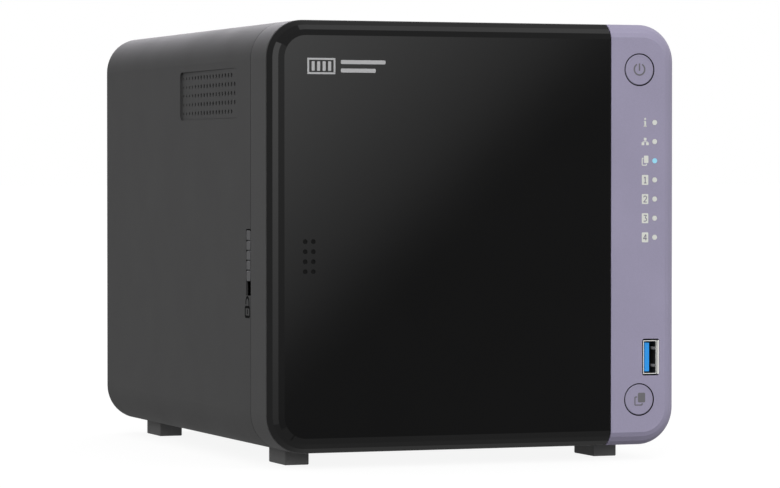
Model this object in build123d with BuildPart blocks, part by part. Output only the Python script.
"""Four-bay network storage enclosure, modelled as it is assembled.

Frame: millimetres, +Z up, origin on the ground under the middle of the enclosure.
+X is to the right and +Y to the rear for someone who stands in front of it.
"""

from build123d import *
from math import cos, radians, sin
import os

# ---------------------------------------------------------------- driving dimensions
WIDTH = 168.0  # over the casing sides
BODY_HEIGHT = 164.0  # casing, without the feet
FOOT_HEIGHT = 6.0
FRONT_Y = -113.0  # face of the door and of the accent strip
SEAM_Y = -90.0  # front edge of the steel casing
CASE_REAR_Y = 108.0
CORNER_R = 14.5  # casing corners, seen from the front
# facets round the front face, as (depth behind the face, inset from the side)
DOOR_EDGE = [(0.0, 5.9), (0.8, 3.7), (2.3, 1.9), (4.6, 0.35)]
STRIP_EDGE = [(0.0, 5.1), (0.8, 3.4), (2.3, 1.6), (4.6, 0.0)]
SHEET = 0.8  # casing and base sheet
CHASSIS_SHEET = 1.0
FIT = 0.2  # clearance between parts that meet

BAYS = 4
BAY_PITCH = 32.0
CAGE_LEFT = -79.0
CAGE_FLOOR_Z, CAGE_ROOF_Z = 25.5, 150.5
CAGE_FRONT_Y, CAGE_REAR_Y = -88.0, 78.0

SPLIT_X = 56.0  # where the door ends and the accent strip begins
BUTTON_X, BUTTON_R = 67.9, 5.95
POWER_Z, COPY_Z = 152.4, 23.8
LED_X, LED_TOP_Z, LED_PITCH, LED_COUNT = 74.45, 131.9, 7.47, 7
USB_X, USB_Z = 72.9, 40.3

# ---------------------------------------------------------------- derived dimensions
HALF_W = WIDTH / 2
BOTTOM_Z = FOOT_HEIGHT
TOP_Z = FOOT_HEIGHT + BODY_HEIGHT
MID_Z = FOOT_HEIGHT + BODY_HEIGHT / 2
CAGE_RIGHT = CAGE_LEFT + BAYS * BAY_PITCH
BAY_CENTRES = [CAGE_LEFT + BAY_PITCH * (i + 0.5) for i in range(BAYS)]
SCREW_R, SCREW_HOLE_R = 1.5, 1.7

os.makedirs("parts", exist_ok=True)


# ---------------------------------------------------------------- helpers
def save(piece, name):
    """Labels a finished sub-part and writes it."""
    piece.part.label = name
    export_step(piece.part, f"parts/{name}.step")


def front_plane(y):
    """A sketch plane at that depth: its x is +X, its y is +Z, and it extrudes to the front."""
    return Plane.XZ.offset(-y)


def block(x, y, z, mode=Mode.ADD):
    """A box between pairs of coordinates."""
    with Locations(((x[0] + x[1]) / 2, (y[0] + y[1]) / 2, (z[0] + z[1]) / 2)):
        Box(x[1] - x[0], y[1] - y[0], z[1] - z[0], mode=mode)


def rod(x, y, z, radius, mode=Mode.ADD):
    """A cylinder along the one coordinate that is a pair."""
    pairs = [isinstance(c, tuple) for c in (x, y, z)]
    turn = {0: (0, 90, 0), 1: (90, 0, 0), 2: (0, 0, 0)}[pairs.index(True)]
    low, high = (x, y, z)[pairs.index(True)]
    centre = [sum(c) / 2 if isinstance(c, tuple) else c for c in (x, y, z)]
    with Locations(tuple(centre)):
        Cylinder(radius, high - low, rotation=turn, mode=mode)


def outline(inset):
    """The casing's rounded outline, drawn this far inside its outer surface."""
    with Locations((0, MID_Z)):
        RectangleRounded(
            WIDTH - 2 * inset, BODY_HEIGHT - 2 * inset, CORNER_R - inset
        )


def slab_of_outline(inset, y_front, y_rear, mode=Mode.ADD):
    """The rounded outline as a solid between two depths."""
    with BuildSketch(front_plane(y_rear)) as section:
        outline(inset)
    extrude(section.sketch, amount=y_rear - y_front, mode=mode)


def front_form(edge, shrink):
    """The whole front with a faceted edge, this far inside the outer surface."""
    side = edge[-1][1] + shrink
    with BuildPart() as form:
        for depth, inset in edge:
            with BuildSketch(front_plane(FRONT_Y + shrink + depth)):
                outline(inset + shrink)
        loft(ruled=True)
        slab_of_outline(side, FRONT_Y + shrink + edge[-1][0], SEAM_Y - 0.4)
    return form.part


def cross_wall(form, x, y_rear):
    """The part of a form between two x, from its face back to that depth."""
    with BuildPart() as wall:
        add(form)
        block(x, (FRONT_Y - 1, y_rear), (BOTTOM_Z - 1, TOP_Z + 1), Mode.INTERSECT)
    return wall.part


WALL = 2.0
DOOR_OUTER, DOOR_INNER = front_form(DOOR_EDGE, 0.0), front_form(DOOR_EDGE, WALL)
STRIP_OUTER, STRIP_INNER = front_form(STRIP_EDGE, 0.0), front_form(STRIP_EDGE, WALL)

# ---------------------------------------------------------------- casing
CASE_LIP_X = 72.0  # the casing turns under the body as far as this
VENT_Y, VENT_Z, VENT_R = (-73.2, 1.1), (133.4, 152.7), 2.5
VENT_PITCH_Y, VENT_PITCH_Z, VENT_COLUMNS, VENT_ROWS = 4.04, 3.53, 18, 5
VENT_REAR_Y = -1.7  # first column of holes
SLOT_Y, SLOT_Z = (SEAM_Y, -84.6), (65.3, 90.8)
PANEL_Y = (106.0, 107.2)  # rear panel, front and rear surface
SCREW_TABS = [(-50.0, 161.5, "top"), (48.0, 161.5, "top"), (-77.0, 24.0, "side"), (77.0, 24.0, "side")]
TAB_HALF = 5.0

with BuildPart() as outer_casing:
    slab_of_outline(0, SEAM_Y, CASE_REAR_Y)
    slab_of_outline(SHEET, SEAM_Y - 1, CASE_REAR_Y + 1, mode=Mode.SUBTRACT)
    block((-CASE_LIP_X, CASE_LIP_X), (SEAM_Y - 1, CASE_REAR_Y + 1), (BOTTOM_Z - 1, BOTTOM_Z + 2), Mode.SUBTRACT)
    for side in (-1, 1):
        with BuildSketch(Plane.YZ.offset(side * HALF_W)):
            with Locations((sum(VENT_Y) / 2, sum(VENT_Z) / 2)):
                RectangleRounded(VENT_Y[1] - VENT_Y[0], VENT_Z[1] - VENT_Z[0], VENT_R)
        extrude(amount=SHEET + 1, both=True, mode=Mode.SUBTRACT)
    block((-HALF_W - 1, -HALF_W + 3), (SLOT_Y[0] - 1, SLOT_Y[1]), SLOT_Z, Mode.SUBTRACT)
    for x, z, place in SCREW_TABS:
        if place == "top":
            block((x - TAB_HALF, x + TAB_HALF), (PANEL_Y[1], CASE_REAR_Y), (z - TAB_HALF, TOP_Z - SHEET / 2))
        else:
            outer = (HALF_W - SHEET / 2) * (1 if x > 0 else -1)
            inner = x - TAB_HALF * (1 if x > 0 else -1)
            block((min(inner, outer), max(inner, outer)), (PANEL_Y[1], CASE_REAR_Y), (z - TAB_HALF, z + TAB_HALF))
        rod(x, (PANEL_Y[1] - 1, CASE_REAR_Y + 1), z, SCREW_HOLE_R, Mode.SUBTRACT)
save(outer_casing, "outer_casing")

# The perforated panels fill the casing's windows. Each ramps from flush at its front end to one
# sheet deep at its rear end, and the holes shrink towards the rear.
VENT_HOLE_R = 0.88
VENT_SMALL = {0: 0.55, 1: 0.55, 2: 0.6, 3: 0.7, 4: 0.78, 5: 0.78}
VENT_MARGIN, VENT_GAP = 3.0, 0.1


def vent_outline(grow):
    """The vent window's outline, drawn this much larger."""
    with Locations((sum(VENT_Y) / 2, sum(VENT_Z) / 2)):
        RectangleRounded(
            VENT_Y[1] - VENT_Y[0] + 2 * grow,
            VENT_Z[1] - VENT_Z[0] + 2 * grow,
            VENT_R + grow / 2,
        )


for side, name in ((-1, "left_vent_panel"), (1, "right_vent_panel")):
    inner, outer = side * (HALF_W - SHEET), side * (HALF_W - 0.05)
    with BuildPart() as vent_panel:
        with BuildSketch(Plane.YZ.offset(inner - side * SHEET)):
            vent_outline(VENT_MARGIN)
        extrude(amount=side * SHEET)
        with BuildSketch(Plane.YZ.offset(inner)):
            vent_outline(-VENT_GAP)
        extrude(amount=outer - inner)
        with BuildSketch(Plane.XY.offset(VENT_Z[0] - 1)):
            with BuildLine():
                Polyline(
                    (outer, VENT_Y[0]),
                    (inner, VENT_Y[1]),
                    (inner, VENT_Y[1] + 1),
                    (side * (HALF_W + 1), VENT_Y[1] + 1),
                    (side * (HALF_W + 1), VENT_Y[0]),
                    close=True,
                )
            make_face()
        extrude(amount=VENT_Z[1] - VENT_Z[0] + 2, mode=Mode.SUBTRACT)
        with BuildSketch(Plane.YZ.offset(inner)):
            for column in range(VENT_COLUMNS):
                rows = range(1, VENT_ROWS - 1) if column == VENT_COLUMNS - 1 else range(VENT_ROWS)
                y = VENT_REAR_Y - column * VENT_PITCH_Y
                middle = sum(VENT_Z) / 2 - VENT_PITCH_Z * (VENT_ROWS - 1) / 2
                with Locations(*[(y, middle + row * VENT_PITCH_Z) for row in rows]):
                    Circle(VENT_SMALL.get(column, VENT_HOLE_R))
        extrude(amount=2 * SHEET, both=True, mode=Mode.SUBTRACT)
    save(vent_panel, name)

# ---------------------------------------------------------------- base and feet
FOOT_X, FOOT_W, FOOT_L = 64.5, 9.8, 19.5
FOOT_YS = (-77.9, 87.5)
FOOT_SPOTS = [(sx * FOOT_X, y) for sx in (-1, 1) for y in FOOT_YS]
BASE_X = CASE_LIP_X - FIT
BASE_REAR_Y = 107.0

with BuildPart() as base_plate:
    slab_of_outline(0, SEAM_Y, BASE_REAR_Y)
    slab_of_outline(SHEET, SEAM_Y - 1, BASE_REAR_Y + 1, mode=Mode.SUBTRACT)
    with BuildSketch(front_plane(BASE_REAR_Y)):
        with Locations((0, BOTTOM_Z)):
            Rectangle(2 * BASE_X, 12)
    extrude(amount=BASE_REAR_Y - SEAM_Y, mode=Mode.INTERSECT)
    for x in (-BASE_X + 1, BASE_X - 1):
        block((x - 0.5, x + 0.5), (SEAM_Y + 12, BASE_REAR_Y - 14), (BOTTOM_Z + SHEET / 2, BOTTOM_Z + 6))
    with Locations((0, -40, BOTTOM_Z), (0, 40, BOTTOM_Z)):
        with GridLocations(44, 7, 2, 6):
            Box(34, 2.4, 4, mode=Mode.SUBTRACT)
    with Locations(*[(x, y, BOTTOM_Z) for x, y in FOOT_SPOTS]):
        Cylinder(SCREW_HOLE_R, 4, mode=Mode.SUBTRACT)
save(base_plate, "base_plate")

with BuildPart() as feet:
    with Locations(*[(x, y, FOOT_HEIGHT / 2) for x, y in FOOT_SPOTS]):
        Box(FOOT_W, FOOT_L, FOOT_HEIGHT)
    fillet(feet.edges().filter_by(Axis.Z), 0.5)
    chamfer(feet.edges().group_by(Axis.Z)[0], 0.3)
    with Locations(*[(x, y, 0) for x, y in FOOT_SPOTS]):
        with Locations(Rotation(180, 0, 0)):
            CounterBoreHole(SCREW_HOLE_R, 3.2, 3.2, FOOT_HEIGHT)
save(feet, "feet")

with BuildPart() as foot_screws:
    for x, y in FOOT_SPOTS:
        rod(x, y, (1.6, 3.2), 2.8)
        rod(x, y, (3.0, 9.5), SCREW_R)
save(foot_screws, "foot_screws")

# ---------------------------------------------------------------- rear panel
FAN_X, FAN_SIZE, FAN_DEPTH, FAN_BORE_R, FAN_PITCH = -16.0, 120.0, 25.0, 57.5, 105.0
FAN_SPOTS = [(FAN_X + sx * FAN_PITCH / 2, MID_Z + sz * FAN_PITCH / 2) for sx in (-1, 1) for sz in (-1, 1)]
BOARD_X = (52.0, 53.6)  # main board, left and right surface
LAN_ZS, LAN_W, LAN_TALL = (52.5, 69.5), 16.0, 13.6
REAR_USB_Z, REAR_USB_W, REAR_USB_TALL = 36.5, 14.0, 15.6
DC_X, DC_Z, DC_BORE_R = 59.6, 17.5, 3.2
RESET_X, RESET_Z, RESET_R = 57.5, 26.0, 1.0
EXPANSION_X, EXPANSION_Z = (58.0, 76.4), (79.5, 158.7)
LOCK_SLOT_X, LOCK_SLOT_Z = 77.0, 69.0
FLANGE_DEPTH = 8.0
COVER_SCREW = (sum(EXPANSION_X) / 2, EXPANSION_Z[1] - 4)

with BuildPart() as rear_panel:
    slab_of_outline(SHEET + FIT, PANEL_Y[0] - FLANGE_DEPTH, PANEL_Y[1])
    slab_of_outline(SHEET + FIT + 1.2, PANEL_Y[0] - FLANGE_DEPTH - 1, PANEL_Y[0], mode=Mode.SUBTRACT)
    rod(FAN_X, (PANEL_Y[0] - 1, PANEL_Y[1] + 1), MID_Z, FAN_BORE_R, Mode.SUBTRACT)
    for x, z in FAN_SPOTS + [(x, z) for x, z, _ in SCREW_TABS] + [COVER_SCREW]:
        rod(x, (PANEL_Y[0] - 1, PANEL_Y[1] + 1), z, SCREW_HOLE_R, Mode.SUBTRACT)
    cut = (PANEL_Y[0] - 1, PANEL_Y[1] + 1)
    for z in LAN_ZS:
        block((BOARD_X[1] - FIT, BOARD_X[1] + LAN_TALL + FIT), cut, (z - LAN_W / 2 - FIT, z + LAN_W / 2 + FIT), Mode.SUBTRACT)
    block(
        (BOARD_X[1] - FIT, BOARD_X[1] + REAR_USB_TALL + FIT),
        cut,
        (REAR_USB_Z - REAR_USB_W / 2 - FIT, REAR_USB_Z + REAR_USB_W / 2 + FIT),
        Mode.SUBTRACT,
    )
    rod(DC_X, cut, DC_Z, DC_BORE_R + 0.6, Mode.SUBTRACT)
    rod(RESET_X, cut, RESET_Z, RESET_R + 0.4, Mode.SUBTRACT)
    block((EXPANSION_X[0] + 2, EXPANSION_X[1] - 2), cut, (EXPANSION_Z[0] + 2, EXPANSION_Z[1] - 9), Mode.SUBTRACT)
    with BuildSketch(front_plane(PANEL_Y[1])):
        with Locations((LOCK_SLOT_X, LOCK_SLOT_Z)):
            RectangleRounded(3.2, 7.4, 0.8)
    extrude(amount=5, both=True, mode=Mode.SUBTRACT)
    with Locations(*[(FAN_X + dx, PANEL_Y[1], z) for dx in (-44, -22, 0, 22, 44) for z in (18.0, 22.0)]):
        Box(16, 6, 2.4, mode=Mode.SUBTRACT)
save(rear_panel, "rear_panel")

with BuildPart() as expansion_slot_cover:
    block(EXPANSION_X, (PANEL_Y[0] - 1.0, PANEL_Y[0]), EXPANSION_Z)
    block((EXPANSION_X[0], EXPANSION_X[1]), (PANEL_Y[0] - 6, PANEL_Y[0]), (EXPANSION_Z[0] - 1, EXPANSION_Z[0]))
    fillet(expansion_slot_cover.edges().filter_by(Axis.Y).group_by(Axis.Z)[-1], 2)
    rod(COVER_SCREW[0], (PANEL_Y[0] - 3, PANEL_Y[0] + 1), COVER_SCREW[1], SCREW_HOLE_R, Mode.SUBTRACT)
    with Locations((sum(EXPANSION_X) / 2, PANEL_Y[0] - 0.5, sum(EXPANSION_Z) / 2 - 4)):
        with GridLocations(4.2, 0, 3, 1):
            with Locations(*[(0, 0, dz) for dz in (-24, -12, 0, 12, 24)]):
                Box(1.8, 3, 9, mode=Mode.SUBTRACT)
save(expansion_slot_cover, "expansion_slot_cover")

with BuildPart() as rear_screws:
    for x, z, _ in SCREW_TABS:
        rod(x, (CASE_REAR_Y, CASE_REAR_Y + 2.0), z, 3.0)
        rod(x, (PANEL_Y[0] - 6, CASE_REAR_Y + 0.5), z, SCREW_R)
        block((x - 2, x + 2), (CASE_REAR_Y + 1.1, CASE_REAR_Y + 3), (z - 0.4, z + 0.4), Mode.SUBTRACT)
        block((x - 0.4, x + 0.4), (CASE_REAR_Y + 1.1, CASE_REAR_Y + 3), (z - 2, z + 2), Mode.SUBTRACT)
    x, z = COVER_SCREW
    rod(x, (PANEL_Y[1], PANEL_Y[1] + 2.0), z, 3.0)
    rod(x, (PANEL_Y[0] - 6, PANEL_Y[1] + 0.5), z, SCREW_R)
    block((x - 2, x + 2), (PANEL_Y[1] + 1.1, PANEL_Y[1] + 3), (z - 0.4, z + 0.4), Mode.SUBTRACT)
    block((x - 0.4, x + 0.4), (PANEL_Y[1] + 1.1, PANEL_Y[1] + 3), (z - 2, z + 2), Mode.SUBTRACT)
save(rear_screws, "rear_screws")

# ---------------------------------------------------------------- fan
FAN_Y = (PANEL_Y[0] - FAN_DEPTH, PANEL_Y[0])
HUB_R, BLADE_TIP_R, BLADE_COUNT = 20.5, 55.5, 9
ROTOR_Y = (FAN_Y[0] + 2.0, FAN_Y[1] - 4.5)

with BuildPart() as fan_frame:
    with BuildSketch(front_plane(FAN_Y[1])):
        with Locations((FAN_X, MID_Z)):
            RectangleRounded(FAN_SIZE, FAN_SIZE, 6)
    extrude(amount=FAN_DEPTH)
    waist = (FAN_Y[0] + 4, FAN_Y[1] - 4)
    with BuildSketch(front_plane(waist[1])):
        with Locations((FAN_X, MID_Z)):
            Rectangle(FAN_SIZE + 2, FAN_SIZE + 2)
            Circle(FAN_BORE_R + 2, mode=Mode.SUBTRACT)
    extrude(amount=waist[1] - waist[0], mode=Mode.SUBTRACT)
    rod(FAN_X, (FAN_Y[0] - 1, FAN_Y[1] + 1), MID_Z, FAN_BORE_R, Mode.SUBTRACT)
    for x, z in FAN_SPOTS:
        rod(x, (FAN_Y[0] - 1, FAN_Y[1] + 1), z, 2.15, Mode.SUBTRACT)
    rod(FAN_X, (FAN_Y[1] - 3.5, FAN_Y[1]), MID_Z, HUB_R)
    with Locations((FAN_X, FAN_Y[1] - 1.5, MID_Z)):
        for angle in (45, 135):
            Box(2 * FAN_BORE_R + 2, 3, 4, rotation=(0, angle, 0))
    rod(FAN_X, (FAN_Y[1] - 9, FAN_Y[1] - 3), MID_Z, 3.0)
save(fan_frame, "fan_frame")

with BuildPart() as blade:
    with BuildSketch(Plane.YZ.offset(HUB_R - 3)):
        lead = (ROTOR_Y[0] + 0.6, -9.5)
        trail = (ROTOR_Y[1] - 0.6, 7.5)
        middle = sum(ROTOR_Y) / 2
        with BuildLine():
            ThreePointArc(lead, (middle - 2.6, 2.4), trail)
            Line(trail, (trail[0] - 0.6, trail[1] - 1.8))
            ThreePointArc((trail[0] - 0.6, trail[1] - 1.8), (middle - 1.6, 0.6), (lead[0] + 1.2, lead[1] - 0.6))
            Line((lead[0] + 1.2, lead[1] - 0.6), lead)
        make_face()
    extrude(amount=BLADE_TIP_R - HUB_R + 1)
    rod(0, ROTOR_Y, 0, BLADE_TIP_R, Mode.INTERSECT)

with BuildPart() as fan_rotor:
    rod(FAN_X, ROTOR_Y, MID_Z, HUB_R)
    fillet(fan_rotor.faces().sort_by(Axis.Y)[0].edges(), 2)
    for i in range(BLADE_COUNT):
        turned = blade.part.rotate(Axis.Y, 360 / BLADE_COUNT * i)
        add(turned.moved(Location((FAN_X, 0, MID_Z))))
    rod(FAN_X, (ROTOR_Y[1] - 6, ROTOR_Y[1] + 1), MID_Z, 3.1, Mode.SUBTRACT)
save(fan_rotor, "fan_rotor")

GUARD_WIRE = 0.9
GUARD_TOP_Y = 113.1 - GUARD_WIRE  # centreline of the spokes
GUARD_RING_Y = GUARD_TOP_Y - 1.5

with BuildPart() as fan_guard:
    for ring_r in (9, 18, 27, 36, 45, 54):
        with Locations(Location((FAN_X, GUARD_RING_Y, MID_Z), (90, 0, 0))):
            Torus(ring_r, GUARD_WIRE)
    reach = FAN_PITCH / 2 * 2**0.5
    eye_y = PANEL_Y[1] + GUARD_WIRE
    for angle in (45, 135):
        c, s = cos(radians(angle)), sin(radians(angle))
        points = [(d * c + FAN_X, y, d * s + MID_Z) for d, y in
                  ((-reach + 3.2, eye_y), (-reach + 10, eye_y), (-reach + 16, GUARD_TOP_Y),
                   (reach - 16, GUARD_TOP_Y), (reach - 10, eye_y), (reach - 3.2, eye_y))]
        with BuildLine() as spoke:
            FilletPolyline(*points, radius=2.0)
        with BuildSketch(Plane(origin=points[0], z_dir=(c, 0, s))):
            Circle(GUARD_WIRE)
        sweep(path=spoke.line)
    for x, z in FAN_SPOTS:
        with Locations(Location((x, eye_y, z), (90, 0, 0))):
            Torus(3.2, GUARD_WIRE)
save(fan_guard, "fan_guard")

with BuildPart() as fan_screws:
    for x, z in FAN_SPOTS:
        head_y = PANEL_Y[1] + 2 * GUARD_WIRE
        rod(x, (head_y, head_y + 1.8), z, 3.4)
        rod(x, (PANEL_Y[0] - 9, head_y + 0.5), z, SCREW_R)
        block((x - 2.2, x + 2.2), (head_y + 0.9, head_y + 3), (z - 0.4, z + 0.4), Mode.SUBTRACT)
        block((x - 0.4, x + 0.4), (head_y + 0.9, head_y + 3), (z - 2.2, z + 2.2), Mode.SUBTRACT)
save(fan_screws, "fan_screws")

# ---------------------------------------------------------------- drive cage
BASE_TOP_Z = BOTTOM_Z + SHEET
LEFT_WALL_Z = 12.4  # the left wall starts above the casing's rounded corner and steps in to a foot
FOOT_STEP_X = (-69.4, -68.4)

for name, x0 in (("cage_left_wall", CAGE_LEFT - CHASSIS_SHEET), ("cage_right_wall", CAGE_RIGHT)):
    lowest = LEFT_WALL_Z if x0 < 0 else BASE_TOP_Z
    with BuildPart() as cage_wall:
        block((x0, x0 + CHASSIS_SHEET), (CAGE_FRONT_Y, CAGE_REAR_Y), (lowest, CAGE_ROOF_Z + CHASSIS_SHEET))
        if x0 < 0:
            block((x0, FOOT_STEP_X[1]), (CAGE_FRONT_Y, CAGE_REAR_Y), (lowest, lowest + CHASSIS_SHEET))
            block(FOOT_STEP_X, (CAGE_FRONT_Y, CAGE_REAR_Y), (BASE_TOP_Z, lowest + CHASSIS_SHEET))
        front_corner_z = 18.6 if x0 < 0 else 10.4
        block((x0 - 1, x0 + 12), (CAGE_FRONT_Y - 1, SEAM_Y + 6.6), (0, front_corner_z), Mode.SUBTRACT)
        with Locations((x0, 0, MID_Z)):
            with Locations(*[(0, y, z) for y in (-55, -15, 25) for z in (-38, 0, 38)]):
                Box(4, 20, 18, mode=Mode.SUBTRACT)
    save(cage_wall, name)

with BuildPart() as cage_floor:
    block((CAGE_LEFT, CAGE_RIGHT), (CAGE_FRONT_Y, CAGE_REAR_Y - 14), (CAGE_FLOOR_Z - CHASSIS_SHEET, CAGE_FLOOR_Z))
    with Locations(*[(x, y, CAGE_FLOOR_Z) for x in BAY_CENTRES for y in (-60, -20, 20)]):
        Box(14, 28, 4, mode=Mode.SUBTRACT)
save(cage_floor, "cage_floor")

with BuildPart() as cage_roof:
    block((CAGE_LEFT, CAGE_RIGHT), (CAGE_FRONT_Y, CAGE_REAR_Y), (CAGE_ROOF_Z, CAGE_ROOF_Z + CHASSIS_SHEET))
    with Locations(*[(x, y, CAGE_ROOF_Z) for x in BAY_CENTRES for y in (-60, -20, 20)]):
        Box(14, 28, 4, mode=Mode.SUBTRACT)
save(cage_roof, "cage_roof")

GUIDE_PLATE, GUIDE_RIB, GUIDE_TALL = 6.1, 1.4, 11.0
GUIDE_Y = (CAGE_FRONT_Y, 60.0)
for name, z0, way in (("lower_bay_guide", CAGE_FLOOR_Z, 1), ("upper_bay_guide", CAGE_ROOF_Z, -1)):
    with BuildPart() as bay_guide:
        block((CAGE_LEFT, CAGE_RIGHT), GUIDE_Y, tuple(sorted((z0, z0 + way * GUIDE_PLATE))))
        for i in range(BAYS + 1):
            x = CAGE_LEFT + i * BAY_PITCH
            span = (max(x - GUIDE_RIB / 2, CAGE_LEFT), min(x + GUIDE_RIB / 2, CAGE_RIGHT))
            block(span, GUIDE_Y, tuple(sorted((z0, z0 + way * GUIDE_TALL))))
        with Locations(*[(x, y, z0) for x in BAY_CENTRES for y in (-60, -20, 20)]):
            Box(14, 28, 16, mode=Mode.SUBTRACT)
    save(bay_guide, name)

# ---------------------------------------------------------------- drive trays
TRAY_HALF_W = 15.0
TRAY_Z = (MID_Z - 60, MID_Z + 60)
TRAY_FACE_Y = (-103.0, -96.0)  # front block of a tray
TRAY_REAR_Y = 60.0
RAIL_Z = (51.2, 53.7)  # from the tray's middle height
LEVER_Y = (-106.5, TRAY_FACE_Y[0] - 0.2)
LEVER_HALF_W, LEVER_Z = 12.5, (TRAY_Z[0] + 2, TRAY_Z[0] + 106)
HINGE_Y, HINGE_Z, HINGE_R = -100.6, TRAY_Z[0] + 6, 1.5
LATCH_Z = TRAY_Z[1] - 8
LATCH_TRAVEL = 1.5

for number, cx in enumerate(BAY_CENTRES, start=1):
    with BuildPart() as tray:
        block((cx - TRAY_HALF_W, cx + TRAY_HALF_W), TRAY_FACE_Y, TRAY_Z)
        fillet(tray.edges().filter_by(Axis.Y), 1.0)
        block((cx - 14.5, cx - 13.0), (TRAY_FACE_Y[1] - 0.5, TRAY_REAR_Y), (MID_Z - RAIL_Z[1], MID_Z + RAIL_Z[1]))
        for way in (-1, 1):
            rail = tuple(sorted((MID_Z + way * RAIL_Z[0], MID_Z + way * RAIL_Z[1])))
            block((cx - 14.5, cx + 13.6), (TRAY_FACE_Y[1] - 0.5, TRAY_REAR_Y), rail)
        for way in (-1, 1):
            with Locations(*[(cx, y, MID_Z + way * sum(RAIL_Z) / 2) for y in (-50, 30)]):
                Cylinder(1.6, 6, mode=Mode.SUBTRACT)
        # air slots behind the lever
        with Locations(*[(cx, sum(TRAY_FACE_Y) / 2, MID_Z + dz) for dz in range(-36, 37, 8)]):
            Box(18, 12, 3.6, mode=Mode.SUBTRACT)
        # pocket and bores for the lever's hinge, and the latch's pocket and guide
        block((cx - 9.4, cx + 9.4), (TRAY_FACE_Y[0] - 1, -98.0), (TRAY_Z[0] + 1.5, TRAY_Z[0] + 11), Mode.SUBTRACT)
        rod((cx - 11.5, cx + 11.5), HINGE_Y, HINGE_Z, HINGE_R + 0.1, Mode.SUBTRACT)
        block((cx - 6.3, cx + 6.3), (TRAY_FACE_Y[0] - 1, -101.2), (LATCH_Z - 4.3, LATCH_Z + 4.3), Mode.SUBTRACT)
        block((cx - 3.3, cx + 3.3), (TRAY_FACE_Y[0] - 1, TRAY_FACE_Y[1] + 1), (LATCH_Z - 2.3, LATCH_Z + 2.3), Mode.SUBTRACT)
    save(tray, f"tray_{number}")

    with BuildPart() as lever:
        block((cx - LEVER_HALF_W, cx + LEVER_HALF_W), LEVER_Y, LEVER_Z)
        fillet(lever.edges().filter_by(Axis.Y), 3.0)
        fillet(lever.faces().sort_by(Axis.Y)[0].edges(), 0.8)
        with Locations(*[(cx, LEVER_Y[0], MID_Z + dz) for dz in range(-36, 29, 8)]):
            Box(16, 10, 3, mode=Mode.SUBTRACT)
        block((cx - 9.0, cx + 9.0), (LEVER_Y[1] - 0.5, -98.6), (TRAY_Z[0] + 4, TRAY_Z[0] + 8))
        rod((cx - 11.2, cx + 11.2), HINGE_Y, HINGE_Z, HINGE_R)
    save(lever, f"tray_lever_{number}")

    with BuildPart() as latch:
        block((cx - 6.0, cx + 6.0), (-105.8, -102.9), (LATCH_Z - 4.0, LATCH_Z + 4.0))
        fillet(latch.edges().filter_by(Axis.Y), 1.5)
        fillet(latch.faces().sort_by(Axis.Y)[0].edges(), 0.5)
        block((cx - 3.0, cx + 3.0), (-103.5, -97.5), (LATCH_Z - 2.0, LATCH_Z + 2.0))
    save(latch, f"tray_latch_{number}")

with BuildPart() as drive_clips:
    for cx in BAY_CENTRES:
        for way in (-1, 1):
            strip = tuple(sorted((MID_Z + way * 53.9, MID_Z + way * 56.2)))
            block((cx - 5, cx + 5), (-62, 42), strip)
            pin = tuple(sorted((MID_Z + way * 51.2, MID_Z + way * 54.5)))
            for y in (-50, 30):
                rod(cx, y, pin, 1.4)
save(drive_clips, "drive_clips")

# ---------------------------------------------------------------- backplane
BACKPLANE_Y = (66.0, 67.6)
with BuildPart() as backplane_board:
    block((CAGE_LEFT, CAGE_RIGHT), BACKPLANE_Y, (36, 140))
    with Locations(*[(cx + 7, BACKPLANE_Y[0], MID_Z) for cx in BAY_CENTRES]):
        Box(9, 6, 84, mode=Mode.SUBTRACT)
save(backplane_board, "backplane_board")

with BuildPart() as drive_connectors:
    for cx in BAY_CENTRES:
        block((cx - 11, cx - 5), (58.0, BACKPLANE_Y[0]), (MID_Z - 44, MID_Z - 2))
        block((cx - 9.6, cx - 6.4), (57.0, 63.0), (MID_Z - 41, MID_Z - 5), Mode.SUBTRACT)
        block((cx - 8.6, cx - 7.4), (58.6, 63.5), (MID_Z - 40, MID_Z - 6))
save(drive_connectors, "drive_connectors")

# ---------------------------------------------------------------- main board
BOARD_Y, BOARD_Z = (-82.0, 104.0), (12.0, 162.0)
STANDOFFS = [(y, z) for y in (-72.0, 72.0) for z in (18.0, 146.0)]
CPU_Y, CPU_Z = -10.0, 52.0

with BuildPart() as main_board:
    block(BOARD_X, BOARD_Y, BOARD_Z)
    for y, z in STANDOFFS:
        rod((BOARD_X[0] - 1, BOARD_X[1] + 1), y, z, SCREW_HOLE_R, Mode.SUBTRACT)
save(main_board, "main_board")

with BuildPart() as board_standoffs:
    for y, z in STANDOFFS:
        with BuildSketch(Plane.YZ.offset(CAGE_RIGHT + CHASSIS_SHEET)):
            with Locations((y, z)):
                RegularPolygon(3.0, 6)
                Circle(SCREW_R, mode=Mode.SUBTRACT)
        extrude(amount=BOARD_X[0] - CAGE_RIGHT - CHASSIS_SHEET)
save(board_standoffs, "board_standoffs")

with BuildPart() as board_screws:
    for y, z in STANDOFFS:
        rod((BOARD_X[1], BOARD_X[1] + 1.8), y, z, 2.8)
        rod((BOARD_X[0] - 1.5, BOARD_X[1] + 0.5), y, z, SCREW_R)
        block((BOARD_X[1] + 0.9, BOARD_X[1] + 3), (y - 1.8, y + 1.8), (z - 0.35, z + 0.35), Mode.SUBTRACT)
        block((BOARD_X[1] + 0.9, BOARD_X[1] + 3), (y - 0.35, y + 0.35), (z - 1.8, z + 1.8), Mode.SUBTRACT)
save(board_screws, "board_screws")

with BuildPart() as processor:
    block((BOARD_X[1], BOARD_X[1] + 2.4), (CPU_Y - 12, CPU_Y + 12), (CPU_Z - 12, CPU_Z + 12))
save(processor, "processor")

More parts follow.
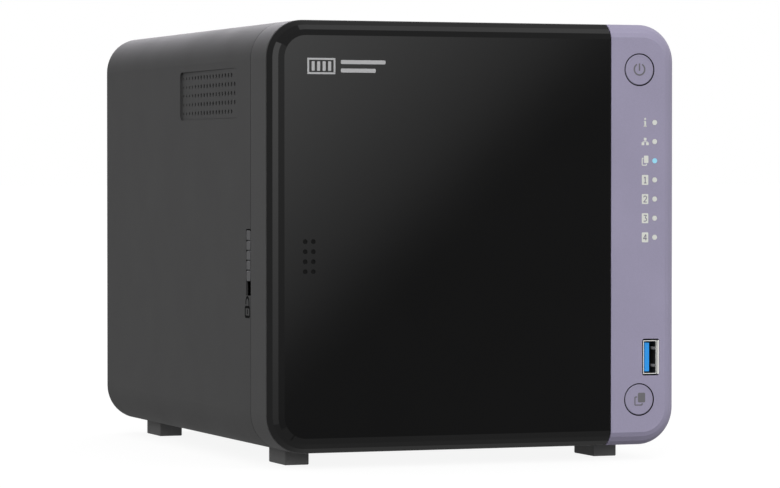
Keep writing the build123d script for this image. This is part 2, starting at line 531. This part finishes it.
with BuildPart() as cpu_heatsink:
    base_x = BOARD_X[1] + 2.4
    block((base_x, base_x + 3), (CPU_Y - 22, CPU_Y + 22), (CPU_Z - 22, CPU_Z + 22))
    for i in range(9):
        y = CPU_Y - 20 + i * 5
        block((base_x + 2, base_x + 16), (y - 0.8, y + 0.8), (CPU_Z - 22, CPU_Z + 22))
save(cpu_heatsink, "cpu_heatsink")

MEMORY_Y, MEMORY_Z = (-76.0, -8.4), (100.0, 130.0)
with BuildPart() as memory_socket:
    block((BOARD_X[1], BOARD_X[1] + 5.2), (MEMORY_Y[0] - 2, MEMORY_Y[1] + 2), (MEMORY_Z[0] - 6, MEMORY_Z[0] + 2))
    block((BOARD_X[1] + 2.4, BOARD_X[1] + 4.0), (MEMORY_Y[0] - 0.2, MEMORY_Y[1] + 0.2), (MEMORY_Z[0] - 0.2, MEMORY_Z[1]), Mode.SUBTRACT)
save(memory_socket, "memory_socket")

with BuildPart() as memory_module:
    block((BOARD_X[1] + 2.6, BOARD_X[1] + 3.8), MEMORY_Y, MEMORY_Z)
    for y in (-66, -50, -34, -18):
        block((BOARD_X[1] + 3.6, BOARD_X[1] + 4.9), (y - 5, y + 5), (MEMORY_Z[0] + 10, MEMORY_Z[0] + 24))
save(memory_module, "memory_module")

# ---------------------------------------------------------------- rear connectors
JACK_REAR_Y = PANEL_Y[1] + 0.6
with BuildPart() as lan_jacks:
    for z in LAN_ZS:
        block((BOARD_X[1], BOARD_X[1] + LAN_TALL), (86.0, JACK_REAR_Y), (z - LAN_W / 2, z + LAN_W / 2))
        x0 = BOARD_X[1] + 3.2
        block((x0, x0 + 7.6), (94.0, JACK_REAR_Y + 1), (z - 5.9, z + 5.9), Mode.SUBTRACT)
        block((x0 + 7.0, x0 + 9.0), (94.0, JACK_REAR_Y + 1), (z - 3.0, z + 3.0), Mode.SUBTRACT)
save(lan_jacks, "lan_jacks")

USB_CAVITY_X, USB_CAVITY_Z = 5.12, 12.5
REAR_USB_XS = (BOARD_X[1] + 4.0, BOARD_X[1] + 11.6)
with BuildPart() as rear_usb_shell:
    block((BOARD_X[1], BOARD_X[1] + REAR_USB_TALL), (90.0, JACK_REAR_Y), (REAR_USB_Z - REAR_USB_W / 2, REAR_USB_Z + REAR_USB_W / 2))
    for x in REAR_USB_XS:
        block(
            (x - USB_CAVITY_X / 2, x + USB_CAVITY_X / 2),
            (96.0, JACK_REAR_Y + 1),
            (REAR_USB_Z - USB_CAVITY_Z / 2, REAR_USB_Z + USB_CAVITY_Z / 2),
            Mode.SUBTRACT,
        )
save(rear_usb_shell, "rear_usb_shell")

with BuildPart() as rear_usb_tongues:
    for x in REAR_USB_XS:
        block((x - 1.9, x), (96.0, JACK_REAR_Y - 0.8), (REAR_USB_Z - 5.6, REAR_USB_Z + 5.6))
save(rear_usb_tongues, "rear_usb_tongues")

with BuildPart() as dc_inlet:
    block((BOARD_X[1], DC_X + 4.6), (92.0, PANEL_Y[0] - 0.1), (DC_Z - 4.6, DC_Z + 4.6))
    rod(DC_X, (PANEL_Y[0] - 1, JACK_REAR_Y), DC_Z, DC_BORE_R + 0.5)
    rod(DC_X, (95.0, JACK_REAR_Y + 1), DC_Z, DC_BORE_R, Mode.SUBTRACT)
    rod(DC_X, (94.5, JACK_REAR_Y - 1.2), DC_Z, 1.0)
save(dc_inlet, "dc_inlet")

with BuildPart() as reset_button:
    rod(RESET_X, (98.0, PANEL_Y[0] + 0.3), RESET_Z, RESET_R)
    rod(RESET_X, (98.0, 99.0), RESET_Z, RESET_R + 0.8)
save(reset_button, "reset_button")

# ---------------------------------------------------------------- front bezel
BEZEL_Y = (-108.2, SEAM_Y - 0.4)  # from behind the door to the seam with the casing
BEZEL_PLATE = 2.0
BEZEL_RIGHT = SPLIT_X - FIT
SUBFRAME_Y = (-96.0, -84.0)
SUBFRAME_INSET = WALL + FIT
WINDOW_X = (BAY_CENTRES[0] - TRAY_HALF_W - 0.6, BAY_CENTRES[-1] + TRAY_HALF_W + 0.6)
WINDOW_Z = (TRAY_Z[0] - 0.6, TRAY_Z[1] + 0.6)
TAB_SPOTS = [(x, z) for x in (-60.0, 30.0) for z in (17.0, 159.0)]
MAGNET_SPOTS = [(x, z) for x in (-40.0, 10.0) for z in (17.0, 159.0)]
LOCK_TAB_X, LOCK_TAB_Z = (-79.0, -78.3), (58.0, 69.0)
MAGNET_R, STRIKE_R, STRIKE_THICK = 3.0, 4.0, 1.0
PCB_Y = (-99.5, -97.9)
PCB_X, PCB_Z = (59.0, 80.4), (16.0, 160.0)
PCB_POSTS = [(x, z) for x in (62.0, 76.0) for z in (66.0, 142.0)]

# the space inside the bezel's rear rim keeps to the rounded outline, so that the rim stays whole at its corners
with BuildPart() as rim_hollow:
    slab_of_outline(3.8, SUBFRAME_Y[0] - 1, SUBFRAME_Y[1] + 1)
    block((BEZEL_RIGHT - 1.6, HALF_W + 1), (SUBFRAME_Y[0] - 2, SUBFRAME_Y[1] + 2), (BOTTOM_Z - 1, TOP_Z + 1), Mode.SUBTRACT)

with BuildPart() as front_bezel:
    slab_of_outline(0, BEZEL_Y[0], BEZEL_Y[1])
    slab_of_outline(2.4, BEZEL_Y[0] + BEZEL_PLATE, BEZEL_Y[1] + 1, mode=Mode.SUBTRACT)
    block((BEZEL_RIGHT, HALF_W + 1), (BEZEL_Y[0] - 1, BEZEL_Y[1] + 1), (BOTTOM_Z - 1, TOP_Z + 1), Mode.SUBTRACT)
    slab_of_outline(SUBFRAME_INSET, SUBFRAME_Y[0], SUBFRAME_Y[1])
    slab_of_outline(SUBFRAME_INSET + 1.6, SUBFRAME_Y[0] + 1.4, SUBFRAME_Y[1] + 1, mode=Mode.SUBTRACT)
    add(rim_hollow, mode=Mode.SUBTRACT)
    block((-HALF_W + 2.4, -HALF_W + 6), (BEZEL_Y[0] + BEZEL_PLATE, SUBFRAME_Y[1] + 1), (60.0, 93.0), Mode.SUBTRACT)
    block((-HALF_W - 1, -HALF_W + 6), (BEZEL_Y[1], SUBFRAME_Y[1] + 1), (60.0, 93.0), Mode.SUBTRACT)
    block(WINDOW_X, (BEZEL_Y[0] - 1, SUBFRAME_Y[0]), WINDOW_Z, Mode.SUBTRACT)
    block((60.5, 79.0), (SUBFRAME_Y[0] - 1, SUBFRAME_Y[0] + 2), (74.0, 134.0), Mode.SUBTRACT)
    for x, z in TAB_SPOTS:
        block((x - 5.4, x + 5.4), (BEZEL_Y[0] - 1, BEZEL_Y[0] + 3), (z - 1.4, z + 1.4), Mode.SUBTRACT)
    block((-HALF_W + 2.4, LOCK_TAB_X[1] + 0.4), (BEZEL_Y[0] - 1, BEZEL_Y[0] + 3), (LOCK_TAB_Z[0] - 0.4, LOCK_TAB_Z[1] + 0.4), Mode.SUBTRACT)
    for x, z in MAGNET_SPOTS:
        rod(x, (BEZEL_Y[0] - 1, BEZEL_Y[0] + STRIKE_THICK), z, STRIKE_R, Mode.SUBTRACT)
    for x, z in PCB_POSTS:
        rod(x, (PCB_Y[1], SUBFRAME_Y[0] + 0.5), z, 2.5)
save(front_bezel, "front_bezel")

with BuildPart() as magnet_strikes:
    for x, z in MAGNET_SPOTS:
        rod(x, (BEZEL_Y[0], BEZEL_Y[0] + STRIKE_THICK), z, STRIKE_R)
save(magnet_strikes, "magnet_strikes")

# ---------------------------------------------------------------- accent strip
BUTTON_HOLE_R = BUTTON_R + 0.45
LED_R, LED_HOLE_R = 1.0, 1.1
LED_ZS = [LED_TOP_Z - i * LED_PITCH for i in range(LED_COUNT)]
STRIP_WALL_REAR = SUBFRAME_Y[0] - FIT
FACE_CUT = (FRONT_Y - 1, FRONT_Y + WALL + 1)

with BuildPart() as accent_strip:
    add(STRIP_OUTER)
    add(STRIP_INNER, mode=Mode.SUBTRACT)
    add(cross_wall(STRIP_OUTER, (SPLIT_X, SPLIT_X + 1.6), STRIP_WALL_REAR))
    block((-HALF_W - 1, SPLIT_X), (FRONT_Y - 1, SEAM_Y + 1), (BOTTOM_Z - 1, TOP_Z + 1), Mode.SUBTRACT)
    for z in (POWER_Z, COPY_Z):
        rod(BUTTON_X, FACE_CUT, z, BUTTON_HOLE_R, Mode.SUBTRACT)
    for z in LED_ZS:
        rod(LED_X, FACE_CUT, z, LED_HOLE_R, Mode.SUBTRACT)
    with BuildSketch(front_plane(FRONT_Y)):
        with Locations((USB_X, USB_Z)):
            RectangleRounded(7.4, 14.4, 1.0)
    extrude(amount=-4, mode=Mode.SUBTRACT)
save(accent_strip, "accent_strip")

SWITCH_TIP_Y = -103.2
BUTTON_TRAVEL = 1.0
BUTTON_PROUD = 0.1  # the buttons have a raised rim
for name, z in (("power_button", POWER_Z), ("copy_button", COPY_Z)):
    with BuildPart() as button:
        rod(BUTTON_X, (FRONT_Y - BUTTON_PROUD, FRONT_Y + 3), z, BUTTON_R)
        chamfer(button.faces().sort_by(Axis.Y)[0].edges(), 0.25)
        rod(BUTTON_X, (FRONT_Y - 1, FRONT_Y), z, BUTTON_R - 0.7, Mode.SUBTRACT)
        rod(BUTTON_X, (FRONT_Y + 2.2, FRONT_Y + 3.4), z, BUTTON_R + 1.1)
        rod(BUTTON_X, (FRONT_Y + 3, SWITCH_TIP_Y - BUTTON_TRAVEL - 0.2), z, 2.0)
    save(button, name)

with BuildPart() as light_pipe:
    block((LED_X - 1.4, LED_X + 1.4), (FRONT_Y + 2.2, FRONT_Y + 3.8), (LED_ZS[-1] - 2.5, LED_ZS[0] + 2.5))
    for z in LED_ZS:
        rod(LED_X, (FRONT_Y, PCB_Y[0] - 1.5), z, LED_R)
save(light_pipe, "light_pipe")

with BuildPart() as front_board:
    block(PCB_X, PCB_Y, PCB_Z)
save(front_board, "front_board")

with BuildPart() as tact_switches:
    for z in (POWER_Z, COPY_Z):
        block((BUTTON_X - 3, BUTTON_X + 3), (PCB_Y[0] - 2.5, PCB_Y[0]), (z - 3, z + 3))
        rod(BUTTON_X, (SWITCH_TIP_Y, PCB_Y[0] - 2), z, 1.6)
save(tact_switches, "tact_switches")

USB_FRONT_Y, USB_SKIN = FRONT_Y + 0.3, 0.3
USB_SHELL_X = USB_X - 0.3  # the socket sits a little to the left in its opening
with BuildPart() as front_usb_shell:
    with BuildSketch(front_plane(PCB_Y[0])):
        with Locations((USB_SHELL_X, USB_Z)):
            RectangleRounded(USB_CAVITY_X + 2 * USB_SKIN, USB_CAVITY_Z + 2 * USB_SKIN, 0.8)
    extrude(amount=PCB_Y[0] - USB_FRONT_Y)
    with BuildSketch(front_plane(PCB_Y[0] - USB_SKIN)):
        with Locations((USB_SHELL_X, USB_Z)):
            RectangleRounded(USB_CAVITY_X, USB_CAVITY_Z, 0.5)
    extrude(amount=PCB_Y[0] - USB_SKIN - USB_FRONT_Y + 1, mode=Mode.SUBTRACT)
save(front_usb_shell, "front_usb_shell")

with BuildPart() as front_usb_tongue:
    block((USB_SHELL_X - 1.9, USB_SHELL_X), (USB_FRONT_Y + 0.7, PCB_Y[0] - USB_SKIN), (USB_Z - 5.6, USB_Z + 5.6))
save(front_usb_tongue, "front_usb_tongue")

# ---------------------------------------------------------------- door
DOOR_RIGHT = SPLIT_X - 0.3
DOOR_REAR_Y = BEZEL_Y[0] - FIT
DOT_XS, DOT_ZS, DOT_R = (-69.9, -66.67), (86.3, 82.5, 78.7, 74.95), 0.9
DOOR_PLATE_Y = (FRONT_Y + WALL, FRONT_Y + WALL + 1.5)
PLATE_INSET = DOOR_EDGE[0][1] + WALL + 0.2

with BuildPart() as door_cover:
    add(DOOR_OUTER)
    add(DOOR_INNER, mode=Mode.SUBTRACT)
    add(cross_wall(DOOR_OUTER, (DOOR_RIGHT - 2, DOOR_RIGHT), DOOR_REAR_Y))
    block((DOOR_RIGHT, HALF_W + 1), (FRONT_Y - 1, SEAM_Y + 1), (BOTTOM_Z - 1, TOP_Z + 1), Mode.SUBTRACT)
    block((-HALF_W - 1, HALF_W + 1), (DOOR_REAR_Y, SEAM_Y + 1), (BOTTOM_Z - 1, TOP_Z + 1), Mode.SUBTRACT)
    with Locations(*[(x, FRONT_Y, z) for x in DOT_XS for z in DOT_ZS]):
        Cylinder(DOT_R, 0.7, rotation=(90, 0, 0), mode=Mode.SUBTRACT)
save(door_cover, "door_cover")

with BuildPart() as door_frame:
    slab_of_outline(PLATE_INSET, DOOR_PLATE_Y[0], DOOR_PLATE_Y[1])
    block((DOOR_RIGHT - 2.2, HALF_W), (FRONT_Y, SEAM_Y), (BOTTOM_Z, TOP_Z), Mode.SUBTRACT)
    for x, z in TAB_SPOTS:
        block((x - 5, x + 5), (DOOR_PLATE_Y[1] - 0.5, -101.0), (z - 1, z + 1))
    block((LOCK_TAB_X[0], -HALF_W + 9), (DOOR_PLATE_Y[1] - 0.05, DOOR_PLATE_Y[1] + 1.2), LOCK_TAB_Z)
    block(LOCK_TAB_X, (DOOR_PLATE_Y[1] - 0.05, -99.0), LOCK_TAB_Z)
    block((LOCK_TAB_X[0] - 1, LOCK_TAB_X[1] + 1), (-104.4, -101.3), (63.8, LOCK_TAB_Z[1] + 1), Mode.SUBTRACT)
save(door_frame, "door_frame")

with BuildPart() as door_magnets:
    for x, z in MAGNET_SPOTS:
        rod(x, (DOOR_PLATE_Y[1], DOOR_REAR_Y), z, MAGNET_R)
save(door_magnets, "door_magnets")

# ---------------------------------------------------------------- door lock
KNOB_Y, KNOB_Z = (-89.7, -85.1), (70.9, 90.3)
KNOB_X = (-HALF_W, -HALF_W + 1.2)
LOCK_BOLT_Y = (-104.0, -101.7)
LOCK_ARM_X, LOCK_BOLT_X = (-81.4, -80.3), (-79.2, -78.4)

with BuildPart() as lock_slider:
    block(KNOB_X, KNOB_Y, KNOB_Z)
    fillet(lock_slider.edges().filter_by(Axis.X), 0.8)
    for z in DOT_ZS:
        with BuildSketch(Plane.XZ.offset(-KNOB_Y[1])):
            with BuildLine():
                Polyline((KNOB_X[0] - 0.1, z - 0.5), (KNOB_X[0] + 0.5, z), (KNOB_X[0] - 0.1, z + 0.5), close=True)
            make_face()
        extrude(amount=KNOB_Y[1] - KNOB_Y[0], mode=Mode.SUBTRACT)
    block((KNOB_X[1] - 0.5, LOCK_ARM_X[1]), (-89.2, -85.7), (75.0, 89.0))
    block(LOCK_ARM_X, (-97.0, -85.7), (75.0, 89.0))
    block((LOCK_ARM_X[0], LOCK_BOLT_X[1]), (-98.0, -97.0), (75.0, 89.0))
    block(LOCK_BOLT_X, (LOCK_BOLT_Y[0], -97.0), (75.0, 89.0))
    block(LOCK_BOLT_X, LOCK_BOLT_Y, (69.8, 76.0))
save(lock_slider, "lock_slider")
